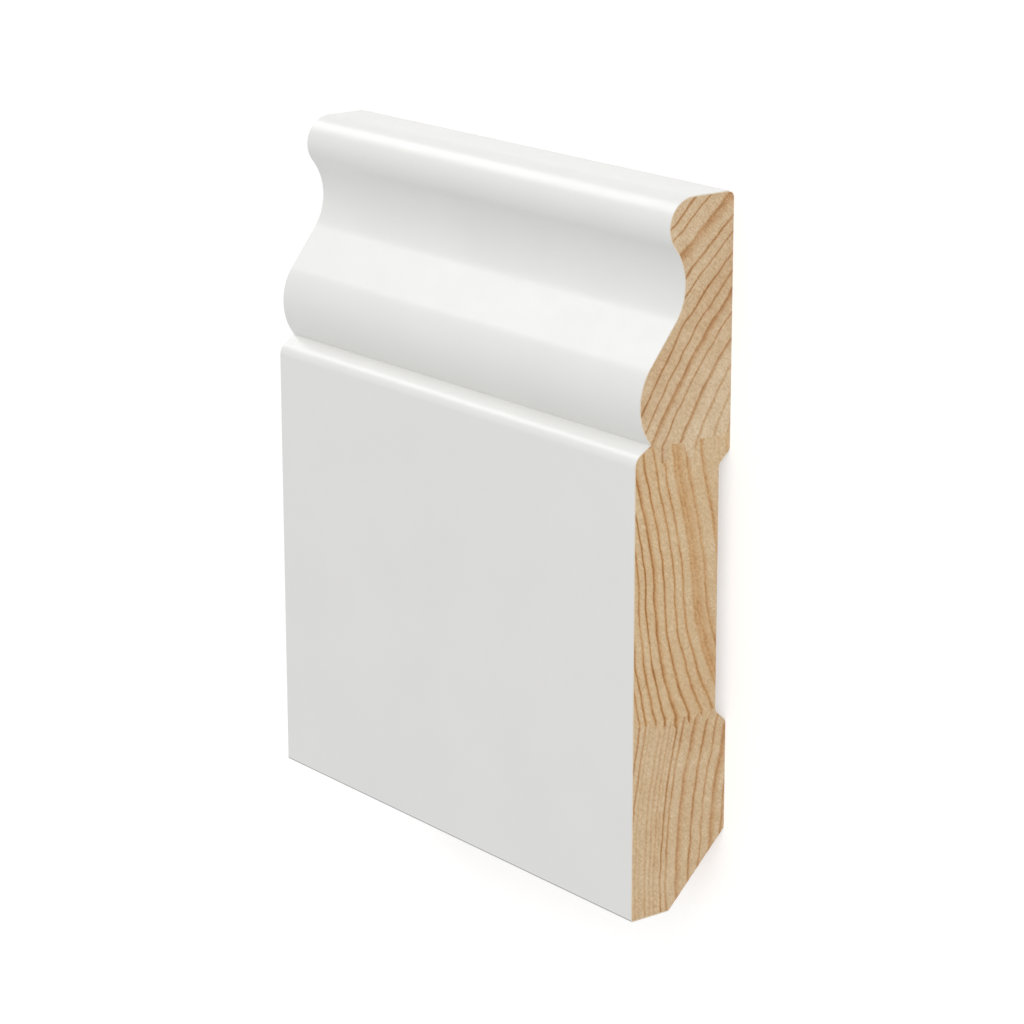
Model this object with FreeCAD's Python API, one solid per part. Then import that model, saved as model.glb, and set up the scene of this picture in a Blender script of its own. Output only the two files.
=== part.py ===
import FreeCAD, Part
import os
from math import acos, atan2, cos, degrees, radians, sin, sqrt, tan

# Painted softwood skirting board, a short length sawn square at both ends.
# The wood is three staves glued edge to edge along finger joints, moulded as one, then painted on
# the front and on both long edges. The back, its relief, the chamfer and the ends stay bare.
#
# The length lies flat on its back. X runs along it, Y from the floor edge up to the moulded edge,
# Z from the back plane to the front face. The origin is on the back plane, under the middle.
#
# A section is drawn with two sizes: height, from the floor edge, and stand, from the back plane.
# Setbacks are measured from the front face into the wood. All sizes are in millimetres.

# Board
length = 100.0
width = 120.0
thickness = 20.0
paint_thickness = 0.2

# Moulding, from the top edge down to the flat front face
bead_radius = 4.9
bead_setback = 6.7
cove_radius = 9.8
cove_setback = 10.0
slope_angle = 37.5
belly_radius = 10.25
belly_setback = 0.9
quirk_setback = 3.1
bevel_angle = 33.5
arris_radius = 2.5
floor_arris_radius = 0.4

# Back. The relief starts below the upper glue joint, which lies in wood of the full thickness.
back_corner_radius = 1.0
relief_depth = 2.3
relief_slope = 48.0
relief_radius = 1.4
relief_below_joint = 2.2
relief_above_floor = 30.4
chamfer = 12.0

# Staves and the fingers that glue them together
top_stave_width = 39.8
base_stave_width = 33.7

upper_finger_depth = 2.8
upper_finger_pitch = 5.8
upper_finger_mouth = 3.2
upper_finger_tip = 1.0
upper_front_shoulder = 4.3
upper_back_shoulder = 5.5

lower_finger_depth = 1.8
lower_finger_pitch = 3.2
lower_finger_mouth = 3.0
lower_finger_tip = 0.3
lower_front_shoulder = 4.6
lower_back_shoulder = 2.2

# How far a joint line is drawn past the board, and how near two ends count as one point
overrun = 5.0
same_place = 1e-6


def spot(height, stand):
    """A point of the section at the left end."""
    return FreeCAD.Vector(-length / 2, height - width / 2, stand)


def corner(height, stand):
    """A corner of an outline, as a run of one point."""
    return [spot(height, stand)]


def arc(centre, radius, start, end):
    """A round stretch of an outline: its first, middle and last point. Angles go from up to front."""
    height, stand = centre
    angles = [radians(angle) for angle in (start, (start + end) / 2, end)]
    return [spot(height + radius * cos(angle), stand + radius * sin(angle)) for angle in angles]


def bearing(start, end):
    """The angle, in degrees, of the line from one point of the section to another."""
    return degrees(atan2(end[1] - start[1], end[0] - start[0]))


def face_inside(outline):
    """The face inside a run of arcs and corners, with a straight edge across each gap."""
    edges = []
    for stretch, following in zip(outline, outline[1:] + outline[:1]):
        if len(stretch) == 3:
            edges.append(Part.Arc(*stretch).toShape())
        if not stretch[-1].isEqual(following[0], same_place):
            edges.append(Part.LineSegment(stretch[-1], following[0]).toShape())
    return Part.Face(Part.Wire(edges))


def full_length(outline):
    """The solid with this section, from end to end of the board."""
    return face_inside(outline).extrude(FreeCAD.Vector(length, 0, 0))


# Centres of the moulding's arcs. The bead is tangent to the top edge, the cove to the bead, and a
# straight slope is tangent to the cove and to the belly below it.
bead = (width - bead_radius, thickness - bead_setback - bead_radius)

cove_stand = thickness - cove_setback + cove_radius
cove_drop = sqrt((bead_radius + cove_radius) ** 2 - (cove_stand - bead[1]) ** 2)
cove = (bead[0] - cove_drop, cove_stand)

slope_facing = 90 - slope_angle
slope_up = sin(radians(slope_angle))
slope_out = cos(radians(slope_angle))
belly_stand = thickness - belly_setback - belly_radius
slope_gain = belly_stand - cove_stand + (belly_radius + cove_radius) * slope_out
slope_drop = slope_gain * slope_out / slope_up
belly = (cove[0] - (cove_radius + belly_radius) * slope_up - slope_drop, belly_stand)

# The quirk is the sharp inner corner where the belly meets the bevel
quirk_stand = thickness - quirk_setback
quirk = (belly[0] - sqrt(belly_radius**2 - (quirk_stand - belly[1]) ** 2), quirk_stand)

bevel_up = cos(radians(bevel_angle))
bevel_out = sin(radians(bevel_angle))
arris_stand = thickness - arris_radius
arris = (quirk[0] - (arris_radius + (arris_stand - quirk[1]) * bevel_out) / bevel_up, arris_stand)


def quirk_angle(depth):
    """Where the belly, seen from its centre, meets the bevel, both taken this deep in the wood."""
    across = (quirk[0] - belly[0]) * bevel_up + (quirk[1] - belly[1]) * bevel_out - depth
    return bevel_angle + degrees(acos(across / (belly_radius - depth)))


def front(depth):
    """The painted side, this deep in the board, from the chamfer round to the back corner."""
    floor_arris = (floor_arris_radius, thickness - floor_arris_radius)
    return [
        corner(depth, chamfer - depth),
        arc(floor_arris, floor_arris_radius - depth, 180, 90),
        arc(arris, arris_radius - depth, 90, bevel_angle),
        arc(belly, belly_radius - depth, quirk_angle(depth), slope_facing),
        arc(cove, cove_radius + depth, slope_facing + 180, bearing(cove, bead) + 360),
        arc(bead, bead_radius - depth, bearing(bead, cove), 0),
        corner(width - depth, back_corner_radius),
    ]


def back():
    """The bare side of the wood, from the top edge down to the chamfer."""
    corner_height = width - paint_thickness - back_corner_radius
    relief_top = width - top_stave_width - relief_below_joint
    slope = radians(relief_slope)
    run = relief_depth / tan(slope) + 2 * relief_radius * tan(slope / 2)
    floor_stand = relief_depth - relief_radius
    return [
        arc((corner_height, back_corner_radius), back_corner_radius, 0, -90),
        arc((relief_top, relief_radius), relief_radius, 270, 270 - relief_slope),
        arc((relief_top - run, floor_stand), relief_radius, 90 - relief_slope, 90),
        arc((relief_above_floor + run, floor_stand), relief_radius, 90, 90 + relief_slope),
        arc((relief_above_floor, relief_radius), relief_radius, 270 + relief_slope, 270),
        corner(chamfer, 0),
    ]


def wood():
    """The moulded wood of all three staves."""
    return full_length(front(paint_thickness) + back())


def paint_coat():
    """The film of paint, as wide as its thickness between the board's outside and the wood."""
    inner = [stretch[::-1] for stretch in reversed(front(paint_thickness))]
    return full_length(front(0) + inner)


def joint_line(shoulder, depth, pitch, mouth, tip, front_shoulder, back_shoulder):
    """A glue line from front to back, with as many fingers reaching down as fit between shoulders."""
    fingered = thickness - front_shoulder - back_shoulder
    count = int((fingered + pitch - mouth) / pitch)
    flank = (mouth - tip) / 2
    line = [corner(shoulder, thickness + overrun)]
    for number in range(count):
        stand = thickness - front_shoulder - number * pitch
        line.append(corner(shoulder, stand))
        line.append(corner(shoulder - depth, stand - flank))
        line.append(corner(shoulder - depth, stand - flank - tip))
        line.append(corner(shoulder, stand - mouth))
    line.append(corner(shoulder, -overrun))
    return line


def level_line(height):
    """A plain line from front to back, clear of the board."""
    return [corner(height, thickness + overrun), corner(height, -overrun)]


def stave(board, lower_line, upper_line):
    """The part of the board between two lines."""
    return board.common(full_length(lower_line + upper_line[::-1])).Solids[0]


def staves():
    """The three glued staves by name."""
    board = wood()
    upper_joint = joint_line(
        width - top_stave_width,
        upper_finger_depth,
        upper_finger_pitch,
        upper_finger_mouth,
        upper_finger_tip,
        upper_front_shoulder,
        upper_back_shoulder,
    )
    lower_joint = joint_line(
        base_stave_width,
        lower_finger_depth,
        lower_finger_pitch,
        lower_finger_mouth,
        lower_finger_tip,
        lower_front_shoulder,
        lower_back_shoulder,
    )
    return {
        "top_stave": stave(board, upper_joint, level_line(width + overrun)),
        "middle_stave": stave(board, lower_joint, upper_joint),
        "base_stave": stave(board, level_line(-overrun), lower_joint),
    }


os.makedirs("parts", exist_ok=True)
pieces = staves()
pieces["paint_coat"] = paint_coat()
for name, solid in pieces.items():
    solid.exportStep(f"parts/{name}.step")
    print(f"{name}: {len(solid.Solids)} solid, valid {solid.isValid()}, {solid.Volume / 1000:.2f} cm3")
print(f"quirk {quirk[0]:.2f} up, front face ends {arris[0]:.2f} up, belly centre {belly[0]:.2f} up")
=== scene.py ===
# %% [markdown]
# A painted skirting board length.
# A short length of moulded pine skirting lies flat on its back. Its solids come packed, at their
# real size, and this lesson gives them their looks: three staves of pine with their growth rings,
# and a smooth white coat of paint.

import bpy
from math import acos, atan2, cos, radians, sin, sqrt
from mathutils import Matrix, Vector


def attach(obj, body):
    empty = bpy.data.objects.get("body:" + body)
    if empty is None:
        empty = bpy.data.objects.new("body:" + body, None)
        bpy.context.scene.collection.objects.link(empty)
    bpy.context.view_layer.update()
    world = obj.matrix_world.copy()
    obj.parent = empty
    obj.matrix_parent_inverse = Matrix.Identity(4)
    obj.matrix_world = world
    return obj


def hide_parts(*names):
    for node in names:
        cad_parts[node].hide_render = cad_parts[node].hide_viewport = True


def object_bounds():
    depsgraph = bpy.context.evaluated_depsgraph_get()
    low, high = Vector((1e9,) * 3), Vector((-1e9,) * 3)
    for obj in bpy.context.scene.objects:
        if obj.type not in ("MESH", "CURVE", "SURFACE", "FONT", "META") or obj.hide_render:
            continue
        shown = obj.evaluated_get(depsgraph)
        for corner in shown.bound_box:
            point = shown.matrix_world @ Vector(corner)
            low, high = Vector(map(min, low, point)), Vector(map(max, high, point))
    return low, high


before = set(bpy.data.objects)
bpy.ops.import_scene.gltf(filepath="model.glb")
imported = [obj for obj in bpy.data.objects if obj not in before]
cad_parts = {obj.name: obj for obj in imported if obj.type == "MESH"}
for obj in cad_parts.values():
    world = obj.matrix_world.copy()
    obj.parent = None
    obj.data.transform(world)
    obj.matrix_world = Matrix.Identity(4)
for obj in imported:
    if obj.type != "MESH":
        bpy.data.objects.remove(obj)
cad_low, cad_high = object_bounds()
MM = 0.001
print("nodes:", sorted(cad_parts))
print("board in millimetres:", [round(side / MM, 1) for side in cad_high - cad_low])

# %% [markdown]
# X runs along the board, Y climbs from the floor edge to the moulded edge, and Z rises from the
# back to the painted face. A joiner draws the section with two other sizes: height, from the
# floor edge, and stand, from the back. Both start from the frame, so nothing has to be fitted.

# %% Sizes taken from the frame
board_length = cad_high.x - cad_low.x
board_height = cad_high.y - cad_low.y
board_thickness = cad_high.z - cad_low.z
floor_edge_y = cad_low.y
back_z = cad_low.z
seen_end_x = cad_high.x


def section_point(height, stand):
    """A point of the section in the middle of the board, from its height and stand in metres."""
    return Vector((0, floor_edge_y + height, back_z + stand))


# %% [markdown]
# The camera looks down on the lying board and is turned so that the moulded edge is at the top of
# the picture. A long lens keeps the board's edges nearly parallel, as a product photograph does.

# %% Place the camera
camera_place = Vector((456.3, 161.4, 359.7)) * MM
camera_aim = Vector((2.54, -2.44, 7.86)) * MM
picture_up = Vector((-0.2159, 0.9616, -0.1693))

camera_data = bpy.data.cameras.new("camera")
camera_data.lens = 121.6
camera_data.sensor_width = 36.0
camera = bpy.data.objects.new("camera", camera_data)
bpy.context.scene.collection.objects.link(camera)
back_way = (camera_place - camera_aim).normalized()
right_way = picture_up.cross(back_way).normalized()
up_way = back_way.cross(right_way)
camera.matrix_world = Matrix.Translation(camera_place) @ Matrix(
    (right_way, up_way, back_way)
).transposed().to_4x4()
bpy.context.scene.camera = camera
print("camera", round((camera_place - camera_aim).length / MM), "mm from the board")

# %% [markdown]
# Every finish below is a tree of nodes. These helpers add a node by kind, link or set its inputs
# by name, and make groups with named inputs that several materials share.

# %% Helpers for node trees


def fill(node, inputs):
    """Links each named input if it is given a socket, and sets it if it is given a value."""
    for name, value in inputs.items():
        if isinstance(value, bpy.types.NodeSocket):
            node.id_data.links.new(value, node.inputs[name])
        else:
            node.inputs[name].default_value = value
    return node


def add(tree, kind, inputs=None, **settings):
    """A new node with these settings and inputs."""
    node = tree.nodes.new(kind)
    for name, value in settings.items():
        setattr(node, name, value)
    return fill(node, inputs or {})


def math(tree, operation, *values, clamp=False):
    """The result of a Math node."""
    node = add(tree, "ShaderNodeMath", operation=operation, use_clamp=clamp)
    return fill(node, dict(enumerate(values))).outputs[0]


def remap(tree, value, low, high, to_low, to_high):
    """A value carried from one range to another, and held there."""
    inputs = {"Value": value, "From Min": low, "From Max": high}
    inputs.update({"To Min": to_low, "To Max": to_high})
    return add(tree, "ShaderNodeMapRange", inputs).outputs["Result"]


def blend(tree, share, first, second, kind="MIX"):
    """Two colours mixed by a share."""
    node = add(tree, "ShaderNodeMix", data_type="RGBA", blend_type=kind)
    return fill(node, {"Factor": share, 6: first, 7: second}).outputs[2]


def noise(tree, vector, scale, detail=2.0, roughness=0.5):
    """Noise from 0 to 1."""
    inputs = {"Vector": vector, "Scale": scale, "Detail": detail, "Roughness": roughness}
    return add(tree, "ShaderNodeTexNoise", inputs).outputs["Fac"]


def stretch(tree, vector, amounts):
    """A vector with each of its parts multiplied."""
    node = add(tree, "ShaderNodeVectorMath", operation="MULTIPLY")
    return fill(node, {0: vector, 1: amounts}).outputs[0]


def new_material(name):
    """An empty material and its tree."""
    material = bpy.data.materials.new(name)
    material.use_nodes = True
    material.node_tree.nodes.clear()
    return material, material.node_tree


SOCKETS = {"number": "NodeSocketFloat", "colour": "NodeSocketColor"}


def new_group(name, inputs, outputs):
    """A shader group with named sockets: its tree, what goes in, and the node that gives it out."""
    group = bpy.data.node_groups.new(name, "ShaderNodeTree")
    for socket, value in inputs.items():
        kind = "number" if isinstance(value, float) else "colour"
        made = group.interface.new_socket(socket, in_out="INPUT", socket_type=SOCKETS[kind])
        made.default_value = value
    for socket, kind in outputs.items():
        group.interface.new_socket(socket, in_out="OUTPUT", socket_type=SOCKETS[kind])
    return group, group.nodes.new("NodeGroupInput").outputs, group.nodes.new("NodeGroupOutput")


def use(tree, group, inputs):
    """A group placed in a tree with its own values."""
    return fill(add(tree, "ShaderNodeGroup", node_tree=group), inputs).outputs


end_facing = 0.9


def on_sawn_end(tree, normal):
    """1 where a face looks along the board, as both sawn ends do, and 0 elsewhere."""
    along = add(tree, "ShaderNodeSeparateXYZ", {0: normal}).outputs["X"]
    return math(tree, "GREATER_THAN", math(tree, "ABSOLUTE", along), end_facing)


def srgb(red, green, blue):
    """A colour read as 0 to 255, made linear for a shader."""

    def linear(level):
        share = level / 255
        return share / 12.92 if share <= 0.04045 else ((share + 0.055) / 1.055) ** 2.4

    return linear(red), linear(green), linear(blue), 1.0


# %% [markdown]
# The end of a pine stave shows short arcs of the tree's yearly rings: wide pale spring wood, then
# a thin dark line of late wood. They could be circles round the pith, but real rings wave. Here
# all the rings of a stave follow one bent line, so the first group takes that line's lean away
# from the depth and leaves the place across the rings, in millimetres. Along the board the rings
# wander a little, so that the bare back shows long waving grain.

# %% Place across the rings
across_group, take, give = new_group(
    "Place across the rings",
    {"Lean": 0.0, "Fan": 0.0, "Fan Centre": 0.0, "Wander": 1.35, "Drift": 0.05},
    {"Across": "number"},
)
tree = across_group
place = add(tree, "ShaderNodeTexCoord").outputs["Object"]
parts = add(tree, "ShaderNodeSeparateXYZ", {0: place}).outputs
depth = math(tree, "MULTIPLY_ADD", parts["Z"], -1 / MM, cad_high.z / MM)
from_end = math(tree, "MULTIPLY_ADD", parts["X"], -1 / MM, seen_end_x / MM)
off_centre = math(tree, "SUBTRACT", depth, take["Fan Centre"])
fanned = math(tree, "MULTIPLY", off_centre, take["Fan"])
straight = math(tree, "SUBTRACT", math(tree, "SUBTRACT", depth, take["Lean"]), fanned)

small_wave = noise(tree, stretch(tree, place, (60, 210, 210)), 1.0, detail=1.6)
small_wave = math(tree, "MULTIPLY", math(tree, "SUBTRACT", small_wave, 0.5), take["Wander"])
long_wave = noise(tree, stretch(tree, place, (22, 30, 30)), 1.0, detail=1.0)
long_wave = math(tree, "MULTIPLY", math(tree, "SUBTRACT", long_wave, 0.5), take["Drift"])
moved = math(tree, "ADD", straight, math(tree, "MULTIPLY", long_wave, from_end))
tree.links.new(math(tree, "ADD", moved, small_wave), give.inputs["Across"])

# %% [markdown]
# The second group draws one late-wood line. It is darkest at its place, falls off fast on its
# sharp side and slowly on its soft side, and keeps what darker lines were drawn before it.

# %% One line of late wood
line_group, take, give = new_group(
    "Late wood line",
    {"Across": 0.0, "Place": 0.0, "Sharp": 0.3, "Soft": 0.3, "Darkness": 1.0, "Before": 0.0},
    {"Late Wood": "number"},
)
tree = line_group
offset = math(tree, "SUBTRACT", take["Across"], take["Place"])
sharp_fall = math(tree, "DIVIDE", math(tree, "MULTIPLY", offset, -1.0), take["Sharp"])
soft_fall = math(tree, "DIVIDE", offset, take["Soft"])
fall = math(tree, "MAXIMUM", sharp_fall, soft_fall)
drawn = math(tree, "MULTIPLY", math(tree, "SUBTRACT", 1.0, fall, clamp=True), take["Darkness"])
tree.links.new(math(tree, "MAXIMUM", drawn, take["Before"]), give.inputs["Late Wood"])

# %% [markdown]
# The third group is the wood itself. Fibres run along X, so noise stretched a long way in X gives
# dots on the sawn end and streaks on the bare back. The end also has the fine slanting scratches
# of the saw, which show only where a face looks along X, and a few dark resin ducts. Away from the
# ends, overspray turns the wood white, for the back corner that the spray gun just reached. Late
# wood is dense, so the fine grain shows less in it, and it stands a little proud of the rest.

# %% Wood with its fibres and saw marks
wood_group, take, give = new_group(
    "Pine wood",
    {
        "Late Wood": 0.0,
        "Pale Colour": srgb(217, 198, 168),
        "Spring Colour": srgb(204, 178, 143),
        "Band Colour": srgb(190, 152, 110),
        "Line Colour": srgb(158, 112, 66),
        "Mottle": 0.62,
        "Speckle": 0.7,
        "Saw Marks": 0.34,
        "Overspray": 0.0,
        "Spray Colour": (0.8, 0.8, 0.78, 1.0),
    },
    {"Color": "colour", "Roughness": "number", "Relief": "number"},
)
tree = wood_group
coordinates = add(tree, "ShaderNodeTexCoord").outputs
place = coordinates["Object"]
on_end = on_sawn_end(tree, coordinates["Normal"])


def centred_noise(tree, place, per_metre, detail, roughness=0.5):
    """Noise round zero. Per metre counts its bumps along X, Y and Z."""
    bumps = noise(tree, stretch(tree, place, per_metre), 1.0, detail, roughness)
    return math(tree, "SUBTRACT", bumps, 0.5)


mottle = centred_noise(tree, place, (12, 125, 125), 4.0, 0.6)
strength = centred_noise(tree, place, (20, 190, 190), 2.0)
fibres = centred_noise(tree, place, (240, 5600, 5600), 1.0)
pores = centred_noise(tree, place, (90, 2300, 2300), 2.0, 0.7)
saw_slant = {"Vector": place, "Rotation": (radians(45), 0, 0)}
turned = add(tree, "ShaderNodeMapping", saw_slant).outputs[0]
scratches = math(tree, "MULTIPLY", centred_noise(tree, turned, (400, 4200, 420), 1.0), on_end)

duct_cells = {"Vector": stretch(tree, place, (25, 520, 520)), "Scale": 1.0}
duct_cells = add(tree, "ShaderNodeTexVoronoi", duct_cells).outputs
duct_core = 0.05
duct_rim = 0.11
duct = remap(tree, duct_cells["Distance"], duct_core, duct_rim, 1.0, 0.0)
chance = add(tree, "ShaderNodeSeparateColor", {0: duct_cells["Color"]}).outputs[0]
share_without_duct = 0.72
duct = math(tree, "MULTIPLY", duct, math(tree, "GREATER_THAN", chance, share_without_duct))

grain = math(tree, "ADD", fibres, pores)
marks = math(tree, "MULTIPLY", scratches, take["Saw Marks"])
fine = math(tree, "MULTIPLY_ADD", grain, take["Speckle"], marks)
strength_share = 0.75
uneven = math(tree, "MULTIPLY_ADD", strength, strength_share, 1.0)
late = math(tree, "MULTIPLY", take["Late Wood"], uneven)
shade = math(tree, "MULTIPLY_ADD", mottle, take["Mottle"], late)
fine_share = remap(tree, take["Late Wood"], 0.1, 0.7, 1.2, 0.55)
shade = math(tree, "SUBTRACT", shade, math(tree, "MULTIPLY", fine, fine_share))
duct_darkness = 0.25
shade = math(tree, "MULTIPLY_ADD", duct, duct_darkness, shade)
to_pale = remap(tree, shade, 0.0, -0.5, 0.0, 1.0)
to_band = remap(tree, shade, 0.0, 0.6, 0.0, 1.0)
to_line = remap(tree, shade, 0.5, 1.0, 0.0, 1.0)
colour = blend(tree, to_pale, take["Spring Colour"], take["Pale Colour"])
colour = blend(tree, to_band, colour, take["Band Colour"])
colour = blend(tree, to_line, colour, take["Line Colour"])

fine_contrast = 0.5
lightness = math(tree, "MULTIPLY_ADD", fine, fine_contrast, 1.0)
tint = {"Red": lightness, "Green": lightness, "Blue": lightness}
tint = add(tree, "ShaderNodeCombineColor", tint).outputs[0]
colour = blend(tree, 1.0, colour, tint, kind="MULTIPLY")
sprayed = math(tree, "MULTIPLY", take["Overspray"], math(tree, "SUBTRACT", 1.0, on_end))
colour = blend(tree, sprayed, colour, take["Spray Colour"])

late_wood_stands = 0.4
relief = math(tree, "MULTIPLY_ADD", take["Late Wood"], late_wood_stands, grain)
relief = math(tree, "ADD", relief, scratches)
tree.links.new(colour, give.inputs["Color"])
tree.links.new(remap(tree, grain, -0.5, 0.5, 0.85, 0.7), give.inputs["Roughness"])
tree.links.new(relief, give.inputs["Relief"])

# %% [markdown]
# A stave's material joins the three groups. Its lean is a smooth curve through a few heights, and
# each year is one copy of the line group, chained to the year before. The numbers for a year are
# its place across the rings, its sharp and soft widths, all in millimetres, and its darkness.
# Sapwood is the paler wood of the outer years: where it starts, where it is full, and how much it
# pales the late wood. Overspray is counted in millimetres down from the moulded edge.

# %% A smooth curve against height


def curve_over_height(tree, height, points):
    """A smooth curve through points, each a height in millimetres and the amount there."""
    heights = [point[0] for point in points]
    amounts = [point[1] for point in points]
    foot, reach = heights[0], heights[-1] - heights[0]
    low, spread = min(amounts), max(amounts) - min(amounts)
    share = remap(tree, height, foot, foot + reach, 0.0, 1.0)
    node = add(tree, "ShaderNodeFloatCurve", {"Value": share})
    curve = node.mapping.curves[0]
    for at, amount in points[1:-1]:
        curve.points.new((at - foot) / reach, (amount - low) / spread)
    curve.points[0].location = (0, (amounts[0] - low) / spread)
    curve.points[-1].location = (1, (amounts[-1] - low) / spread)
    node.mapping.update()
    return math(tree, "MULTIPLY_ADD", node.outputs[0], spread, low)


# %% Material of a stave
overspray_ends = 0.6
overspray_full = 0.35
grain_depth = 0.02 * MM


def pine(name, colours, mottle, wander, lean, fan, fan_centre, years, sapwood):
    """Pine whose rings follow one bent line. Fan opens the rings out away from its centre depth."""
    material, tree = new_material(name)
    place = add(tree, "ShaderNodeTexCoord").outputs["Object"]
    upward = add(tree, "ShaderNodeSeparateXYZ", {0: place}).outputs["Y"]
    height = math(tree, "MULTIPLY_ADD", upward, 1 / MM, -floor_edge_y / MM)
    bend = {
        "Lean": curve_over_height(tree, height, lean),
        "Fan": curve_over_height(tree, height, fan),
        "Fan Centre": fan_centre,
        "Wander": wander,
    }
    across = use(tree, across_group, bend)["Across"]
    late_wood = 0.0
    for place_across, sharp, soft, darkness in years:
        line = {"Across": across, "Place": place_across, "Sharp": sharp, "Soft": soft}
        line.update({"Darkness": darkness, "Before": late_wood})
        late_wood = use(tree, line_group, line)["Late Wood"]
    sapwood_starts, sapwood_full, paler_by = sapwood
    paler = remap(tree, across, sapwood_starts, sapwood_full, 0.0, paler_by)
    late_wood = math(tree, "SUBTRACT", late_wood, paler)
    to_top = math(tree, "SUBTRACT", board_height / MM, height)
    overspray = remap(tree, to_top, overspray_ends, overspray_full, 0.0, 1.0)
    grown = {"Late Wood": late_wood, "Mottle": mottle, "Overspray": overspray}
    wood = use(tree, wood_group, {**grown, **colours})
    grain_bump = {"Height": wood["Relief"], "Distance": grain_depth, "Strength": 0.25}
    bump = add(tree, "ShaderNodeBump", grain_bump)
    finish = {
        "Base Color": wood["Color"],
        "Roughness": wood["Roughness"],
        "Normal": bump.outputs[0],
        "Specular IOR Level": 0.25,
    }
    shader = add(tree, "ShaderNodeBsdfPrincipled", finish)
    add(tree, "ShaderNodeOutputMaterial", {"Surface": shader.outputs[0]})
    print(name, "has", len(years), "years of late wood")
    return material


# %% [markdown]
# The three staves come from different trees. The top stave's rings climb to the right, and one
# year is wide and red. The middle stave's rings stand nearly upright and fan out towards the
# foot. The base stave was a slow tree, with narrow years near the face.

# %% Top stave
top_stave_pine = pine(
    "top_stave_pine",
    colours={
        "Pale Colour": srgb(209, 191, 163),
        "Spring Colour": srgb(197, 172, 139),
        "Band Colour": srgb(183, 145, 106),
        "Line Colour": srgb(151, 107, 62),
    },
    mottle=1.05,
    wander=1.35,
    lean=[
        (80, -13.6),
        (85, -10.8),
        (90, -7.3),
        (95, -3.6),
        (100, 0.0),
        (105, 4.4),
        (110, 9.5),
        (115, 15.0),
        (120, 20.5),
    ],
    fan=[(80, -0.035), (90, -0.08), (100, 0.085), (110, 0.0), (120, 0.1)],
    fan_centre=12.0,
    years=[
        (-8.1, 0.5, 0.55, 1.05),
        (-5.25, 0.42, 0.42, 0.92),
        (-1.1, 0.75, 3.0, 0.76),
        (0.3, 1.0, 0.95, 0.5),
        (3.7, 0.5, 0.62, 0.9),
        (6.75, 0.42, 0.4, 0.9),
        (7.9, 0.3, 0.4, 0.2),
        (10.5, 3.5, 4.5, 0.15),
        (10.55, 0.5, 0.55, 1.0),
        (13.45, 0.42, 0.42, 0.83),
        (16.1, 0.5, 1.5, 0.8),
        (19.05, 0.42, 0.42, 0.8),
        (22.8, 0.55, 0.85, 0.88),
        (26.6, 0.45, 0.65, 0.76),
        (30.0, 0.55, 0.6, 0.66),
        (33.2, 0.45, 0.45, 0.72),
    ],
    sapwood=(22.0, 25.0, 0.22),
)

# %% Middle stave
middle_stave_pine = pine(
    "middle_stave_pine",
    colours={
        "Pale Colour": srgb(211, 191, 160),
        "Spring Colour": srgb(198, 172, 136),
        "Band Colour": srgb(191, 151, 106),
        "Line Colour": srgb(152, 106, 57),
    },
    mottle=0.75,
    wander=0.8,
    lean=[
        (34, 3.6),
        (39, 2.4),
        (44, 1.3),
        (49, 0.5),
        (54, 0.0),
        (59, -0.3),
        (64, -1.2),
        (69, -2.4),
        (74, -3.8),
        (80, -5.0),
    ],
    fan=[(34, 0.215), (44, 0.085), (54, -0.02), (66, -0.045), (80, -0.005)],
    fan_centre=4.0,
    years=[
        (-1.5, 0.35, 0.35, 0.8),
        (-0.42, 0.36, 0.42, 0.98),
        (1.08, 0.42, 0.42, 0.85),
        (2.62, 0.38, 0.36, 1.05),
        (4.38, 0.38, 0.95, 0.95),
        (6.58, 0.42, 0.5, 0.93),
        (8.78, 0.45, 0.42, 0.84),
        (10.7, 0.5, 0.48, 0.83),
        (12.75, 0.5, 1.6, 0.66),
        (13.5, 0.9, 2.2, 0.66),
        (15.5, 0.45, 0.95, 0.7),
        (18.8, 0.5, 0.85, 0.72),
        (22.5, 0.3, 0.3, 0.3),
        (24.2, 0.35, 0.35, 0.5),
    ],
    sapwood=(8.0, 11.0, 0.07),
)

# %% Base stave
base_stave_pine = pine(
    "base_stave_pine",
    colours={
        "Pale Colour": srgb(210, 191, 162),
        "Spring Colour": srgb(198, 173, 139),
        "Band Colour": srgb(186, 148, 107),
        "Line Colour": srgb(152, 108, 64),
    },
    mottle=0.8,
    wander=0.9,
    lean=[(0, -0.1), (6, -0.35), (12, 0.0), (18, 0.4), (24, 1.4), (29, 2.5), (34, 3.5)],
    fan=[(0, -0.082), (16, -0.053), (34, -0.005)],
    fan_centre=8.0,
    years=[
        (-1.9, 0.45, 0.4, 0.92),
        (-0.5, 0.4, 0.42, 0.77),
        (0.5, 0.35, 0.35, 0.36),
        (1.3, 0.5, 0.6, 0.18),
        (2.65, 0.38, 0.38, 0.48),
        (3.75, 0.36, 0.36, 0.48),
        (4.8, 0.36, 0.36, 0.52),
        (5.5, 0.3, 0.3, 0.32),
        (6.4, 0.38, 0.38, 0.92),
        (7.65, 0.42, 0.42, 0.75),
        (10.0, 0.42, 1.3, 0.71),
        (12.9, 0.42, 0.65, 0.79),
        (15.3, 0.4, 0.4, 0.7),
        (17.45, 0.6, 1.4, 0.76),
        (19.9, 0.45, 0.45, 0.85),
    ],
    sapwood=(14.0, 17.0, 0.05),
)

# %% Give the staves their wood
stave_woods = {
    "top_stave": top_stave_pine,
    "middle_stave": middle_stave_pine,
    "base_stave": base_stave_pine,
}
for node, material in stave_woods.items():
    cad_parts[node].data.materials.clear()
    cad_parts[node].data.materials.append(material)

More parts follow.
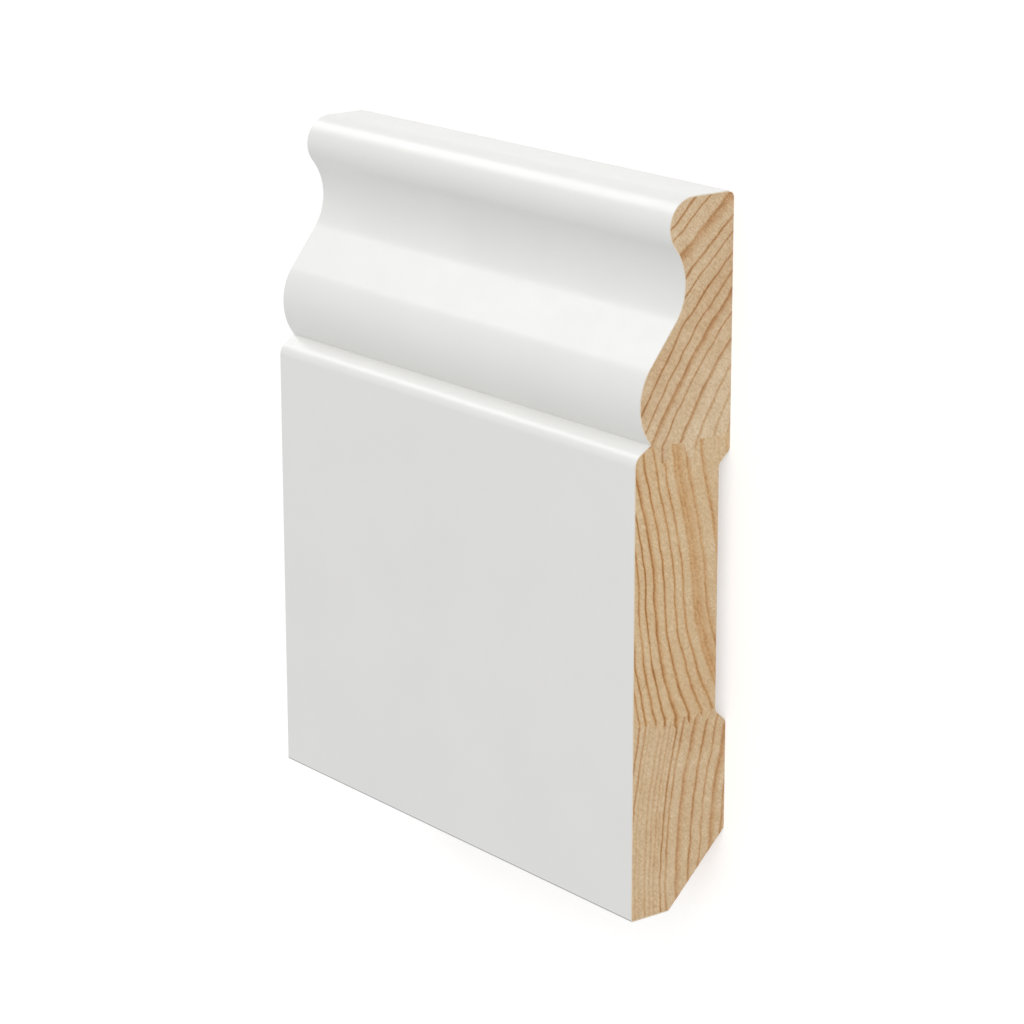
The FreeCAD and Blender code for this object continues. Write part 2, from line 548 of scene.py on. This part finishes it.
# %% [markdown]
# Factory paint is sprayed and smooth, with a satin sheen. A trace of unevenness, far finer than
# the moulding, keeps its highlights alive. The sawn edge of the film is creamy, because the saw
# tears fibres of wood into it. A thin grey line along the floor arris is painted shade: the
# contact shadow along the floor edge, drawn into the paint's colour. That line is measured in
# millimetres, up from the floor edge and back from the face.

# %% White paint
duller_white = (0.8, 0.798, 0.78, 1.0)
brighter_white = (0.844, 0.842, 0.824, 1.0)
# Grey of painted shade for the floor arris, standing in for the contact shadow along the floor
# edge.
painted_shade_grey = (0.34, 0.34, 0.34, 1.0)
sawn_cream = srgb(213, 202, 184)
peel_depth = 0.006 * MM
painted_shade_up = 0.42
painted_shade_most_up = 0.3
painted_shade_back = 0.5
painted_shade_most_back = 0.38

white_paint, tree = new_material("white_paint")
coordinates = add(tree, "ShaderNodeTexCoord").outputs
place = coordinates["Object"]
peel = noise(tree, stretch(tree, place, (260, 420, 420)), 1.0, detail=2.0)
cloud = noise(tree, place, 60.0, detail=4.0)
paint_colour = blend(tree, cloud, duller_white, brighter_white)
parts = add(tree, "ShaderNodeSeparateXYZ", {0: place}).outputs
from_floor_edge = math(tree, "MULTIPLY_ADD", parts["Y"], 1 / MM, -floor_edge_y / MM)
from_face = math(tree, "MULTIPLY_ADD", parts["Z"], -1 / MM, cad_high.z / MM)
# Painted shade: the floor arris turns grey where a contact shadow would lie along the floor edge.
near_floor_edge = remap(tree, from_floor_edge, painted_shade_up, painted_shade_most_up, 0.0, 1.0)
near_face = remap(tree, from_face, painted_shade_back, painted_shade_most_back, 0.0, 1.0)
painted_shade_on_arris = math(tree, "MULTIPLY", near_floor_edge, near_face)
paint_colour = blend(tree, painted_shade_on_arris, paint_colour, painted_shade_grey)
on_end = on_sawn_end(tree, coordinates["Normal"])
paint_colour = blend(tree, on_end, paint_colour, sawn_cream)
bump = add(tree, "ShaderNodeBump", {"Height": peel, "Distance": peel_depth, "Strength": 0.5})
finish = {
    "Base Color": paint_colour,
    "Roughness": remap(tree, peel, 0.3, 0.7, 0.28, 0.33),
    "Normal": bump.outputs[0],
    "Specular IOR Level": 0.25,
}
shader = add(tree, "ShaderNodeBsdfPrincipled", finish)
add(tree, "ShaderNodeOutputMaterial", {"Surface": shader.outputs[0]})

# %% [markdown]
# The film of paint covers the moulded face and both long edges, and its cut end shows as a thin
# pale line round the wood. Its surface is where the light plays, so it gets a smooth mesh of its
# own. A moulding's section is arcs that run into each other, and a section drawn by eye would
# show every bump in its highlights, so each arc's centre is worked out from the arcs beside it.

# %% Sizes of the moulding
film_thickness = 0.2 * MM
floor_arris_radius = 0.4 * MM
chamfer = 12.0 * MM
back_corner_radius = 1.0 * MM
bead_radius = 4.9 * MM
bead_setback = 6.7 * MM
cove_radius = 9.8 * MM
cove_setback = 10.0 * MM
slope_angle = radians(37.5)
belly_radius = 10.25 * MM
belly_setback = 0.9 * MM
quirk_setback = 3.1 * MM
bevel_angle = radians(33.5)
arris_radius = 2.5 * MM

# %% Centres of the arcs, as height and stand
bead = (board_height - bead_radius, board_thickness - bead_setback - bead_radius)
cove_stand = board_thickness - cove_setback + cove_radius
cove_drop = sqrt((bead_radius + cove_radius) ** 2 - (cove_stand - bead[1]) ** 2)
cove = (bead[0] - cove_drop, cove_stand)

slope_facing = radians(90) - slope_angle
belly_stand = board_thickness - belly_setback - belly_radius
slope_gain = belly_stand - cove_stand + (belly_radius + cove_radius) * cos(slope_angle)
slope_drop = slope_gain * cos(slope_angle) / sin(slope_angle)
belly = (cove[0] - (cove_radius + belly_radius) * sin(slope_angle) - slope_drop, belly_stand)

quirk_stand = board_thickness - quirk_setback
quirk = (belly[0] - sqrt(belly_radius**2 - (quirk_stand - belly[1]) ** 2), quirk_stand)
arris_stand = board_thickness - arris_radius
arris_fall = (arris_radius + (arris_stand - quirk[1]) * sin(bevel_angle)) / cos(bevel_angle)
arris = (quirk[0] - arris_fall, arris_stand)
print("the quirk lies", round(quirk[0] / MM, 1), "mm above the floor edge")

# %% [markdown]
# One function draws the painted side of the section at any depth, so the outside of the film and
# its inside, a fifth of a millimetre deeper, come from the same arcs. Where the belly meets the
# bevel, the two lines cross at another angle when they are deeper, so that angle is worked out.

# %% The painted side of the section
arc_steps = 40


def arc(centre, radius, start, end):
    """Points round an arc. Angles turn from up, the way of height, to front, the way of stand."""
    turns = [start + (end - start) * step / arc_steps for step in range(arc_steps + 1)]
    return [(centre[0] + radius * cos(turn), centre[1] + radius * sin(turn)) for turn in turns]


def bearing(start, end):
    """The angle of the line from one point of the section to another."""
    return atan2(end[1] - start[1], end[0] - start[0])


def quirk_angle(depth):
    """Where the belly, seen from its centre, meets the bevel, both this deep in the board."""
    rise, reach = quirk[0] - belly[0], quirk[1] - belly[1]
    across = rise * cos(bevel_angle) + reach * sin(bevel_angle) - depth
    return bevel_angle + acos(across / (belly_radius - depth))


def painted_side(depth):
    """Height and stand of the painted side this deep in the board, from chamfer to back."""
    floor_arris = (floor_arris_radius, board_thickness - floor_arris_radius)
    half_turn = radians(180)
    cove_end = bearing(cove, bead) + 2 * half_turn
    return (
        [(depth, chamfer - depth)]
        + arc(floor_arris, floor_arris_radius - depth, half_turn, radians(90))
        + arc(arris, arris_radius - depth, radians(90), bevel_angle)
        + arc(belly, belly_radius - depth, quirk_angle(depth), slope_facing)
        + arc(cove, cove_radius + depth, slope_facing + half_turn, cove_end)
        + arc(bead, bead_radius - depth, bearing(bead, cove), 0)
        + [(board_height - depth, back_corner_radius)]
    )


# %% [markdown]
# The cut end of the film is a narrow band of quads between the two lines. It could be extruded in
# edit mode, but a Geometry Nodes tree keeps the length and the angle of its sharp edges as inputs:
# it pushes the band along the board, closes the first end, and shades the curves smooth.

# %% The band at the far end
outer_line = painted_side(0)
inner_line = painted_side(film_thickness)
far_end = Vector((cad_low.x, 0, 0))
band_points = [section_point(*point) + far_end for point in outer_line + inner_line]
count = len(outer_line)
band_quads = [(i, count + i, count + i + 1, i + 1) for i in range(count - 1)]
film_mesh = bpy.data.meshes.new("paint_film")
film_mesh.from_pydata(band_points, [], band_quads)
film = bpy.data.objects.new("paint_film", film_mesh)
bpy.context.scene.collection.objects.link(film)
print("the band has", len(band_quads), "quads")

# %% The tree that runs the band along the board
run_tree = bpy.data.node_groups.new("Run along the board", "GeometryNodeTree")
run_inputs = {}
for socket, kind in {
    "Band": "NodeSocketGeometry",
    "Length": "NodeSocketFloat",
    "Sharp Angle": "NodeSocketFloat",
    "Paint": "NodeSocketMaterial",
}.items():
    run_inputs[socket] = run_tree.interface.new_socket(socket, in_out="INPUT", socket_type=kind)
run_tree.interface.new_socket("Film", in_out="OUTPUT", socket_type="NodeSocketGeometry")
take = run_tree.nodes.new("NodeGroupInput").outputs
same_place = 1e-6

way = add(run_tree, "ShaderNodeCombineXYZ", {"X": take["Length"]}).outputs[0]
push = {"Mesh": take["Band"], "Offset": way, "Individual": False}
pushed = add(run_tree, "GeometryNodeExtrudeMesh", push, mode="FACES").outputs["Mesh"]
first_end = add(run_tree, "GeometryNodeFlipFaces", {"Mesh": take["Band"]}).outputs[0]
joined = add(run_tree, "GeometryNodeJoinGeometry", {"Geometry": pushed})
run_tree.links.new(first_end, joined.inputs[0])
merge = {"Geometry": joined.outputs[0], "Distance": same_place}
closed = add(run_tree, "GeometryNodeMergeByDistance", merge).outputs[0]
all_smooth = {"Geometry": closed, "Shade Smooth": True}
smooth = add(run_tree, "GeometryNodeSetShadeSmooth", all_smooth).outputs[0]
edge_angle = add(run_tree, "GeometryNodeInputMeshEdgeAngle").outputs["Unsigned Angle"]
is_sharp = add(run_tree, "FunctionNodeCompare", {"A": edge_angle, "B": take["Sharp Angle"]})
sharp = {"Geometry": smooth, "Selection": is_sharp.outputs[0], "Shade Smooth": False}
creased = add(run_tree, "GeometryNodeSetShadeSmooth", sharp, domain="EDGE")
real = add(run_tree, "GeometryNodeRealizeInstances", {"Geometry": creased.outputs[0]})
painted = {"Geometry": real.outputs[0], "Material": take["Paint"]}
painted = add(run_tree, "GeometryNodeSetMaterial", painted).outputs[0]
add(run_tree, "NodeGroupOutput", {"Film": painted})

# %% Run the film along the board
modifier = film.modifiers.new("Run along the board", "NODES")
modifier.node_group = run_tree
modifier[run_inputs["Length"].identifier] = board_length
modifier[run_inputs["Sharp Angle"].identifier] = radians(20)
modifier[run_inputs["Paint"].identifier] = white_paint
evaluated = film.evaluated_get(bpy.context.evaluated_depsgraph_get())
film_result = bpy.data.meshes.new_from_object(evaluated)
film.modifiers.remove(modifier)
film.data = film_result
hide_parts("paint_coat")
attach(film, "root")
print("the film has", len(film_result.polygons), "faces")

# %% [markdown]
# The floor is plain and pale. Light Path tells who looks: the camera, and rays that come off gloss
# or through glass, see the floor glow a little, which makes it white. The rest of its light is
# real, so it still holds the board's shadow. It lies a hair below the back, because two faces in
# one place flicker.

# %% Floor


def seen_directly(tree):
    """1 for what the camera sees, itself or in a reflection or through glass, and 0 for light."""
    path = add(tree, "ShaderNodeLightPath").outputs
    seen = math(tree, "MAXIMUM", path["Is Camera Ray"], path["Is Glossy Ray"])
    return math(tree, "MAXIMUM", seen, path["Is Transmission Ray"])


floor_half_side = 3.0
floor_below_back = 0.05 * MM
floor_colour = (0.85, 0.85, 0.85, 1.0)
floor_glow = 0.42
floor_mesh = bpy.data.meshes.new("floor")
corners = [(-1, -1), (1, -1), (1, 1), (-1, 1)]
floor_level = back_z - floor_below_back
floor_points = [(x * floor_half_side, y * floor_half_side, floor_level) for x, y in corners]
floor_mesh.from_pydata(floor_points, [], [(0, 1, 2, 3)])
floor = bpy.data.objects.new("floor", floor_mesh)
bpy.context.scene.collection.objects.link(floor)
floor_white, tree = new_material("floor_white")
matt = add(tree, "ShaderNodeBsdfDiffuse", {"Color": floor_colour})
glow_strength = math(tree, "MULTIPLY", seen_directly(tree), floor_glow)
glow = add(tree, "ShaderNodeEmission", {"Strength": glow_strength})
both = add(tree, "ShaderNodeAddShader", {0: matt.outputs[0], 1: glow.outputs[0]})
add(tree, "ShaderNodeOutputMaterial", {"Surface": both.outputs[0]})
floor_mesh.materials.append(floor_white)

# %% [markdown]
# A studio wraps the board in even soft light. A wide lamp above the moulded edge leaves the
# undersides of the bead and the belly as the darkest paint, one on the right lights the sawn end,
# a weak one fills from the left, and a narrow one draws the bright line along the bead. A lamp's
# height sets how broad its gleam is across a round edge, so the narrow one is tall.

# %% World
sky_level = 0.62
world = bpy.data.worlds.new("studio")
bpy.context.scene.world = world
world.use_nodes = True
tree = world.node_tree
tree.nodes.clear()
level = remap(tree, seen_directly(tree), 0.0, 1.0, sky_level, 1.0)
sky = add(tree, "ShaderNodeBackground", {"Color": (1, 1, 1, 1), "Strength": level})
add(tree, "ShaderNodeOutputWorld", {"Surface": sky.outputs[0]})

# %% Lamps
lamp_distance = 1.5


def softbox(name, direction, power, width=1.0, height=1.0):
    """A lamp with four corners that faces the middle of the board. Sizes are in metres."""
    data = bpy.data.lights.new(name, "AREA")
    data.shape = "RECTANGLE"
    data.size = width
    data.size_y = height
    data.energy = power
    lamp = bpy.data.objects.new(name, data)
    bpy.context.scene.collection.objects.link(lamp)
    way = Vector(direction).normalized()
    lamp.location = way * lamp_distance
    lamp.rotation_mode = "QUATERNION"
    lamp.rotation_quaternion = way.to_track_quat("Z", "Y")


softbox("key", (0.6, 0.6, 0.5), power=4.2)
softbox("right_end", (1.0, 0.15, 0.35), power=6.8)
softbox("left_fill", (-0.6, 0.6, 0.5), power=0.3)
softbox("bead_line", (-0.757, 0.607, 0.225), power=5.5, width=0.34, height=0.8)
print("four lamps stand", lamp_distance, "m from the board")

# %% Set the view transform and finish
bpy.context.scene.view_settings.view_transform = "Standard"
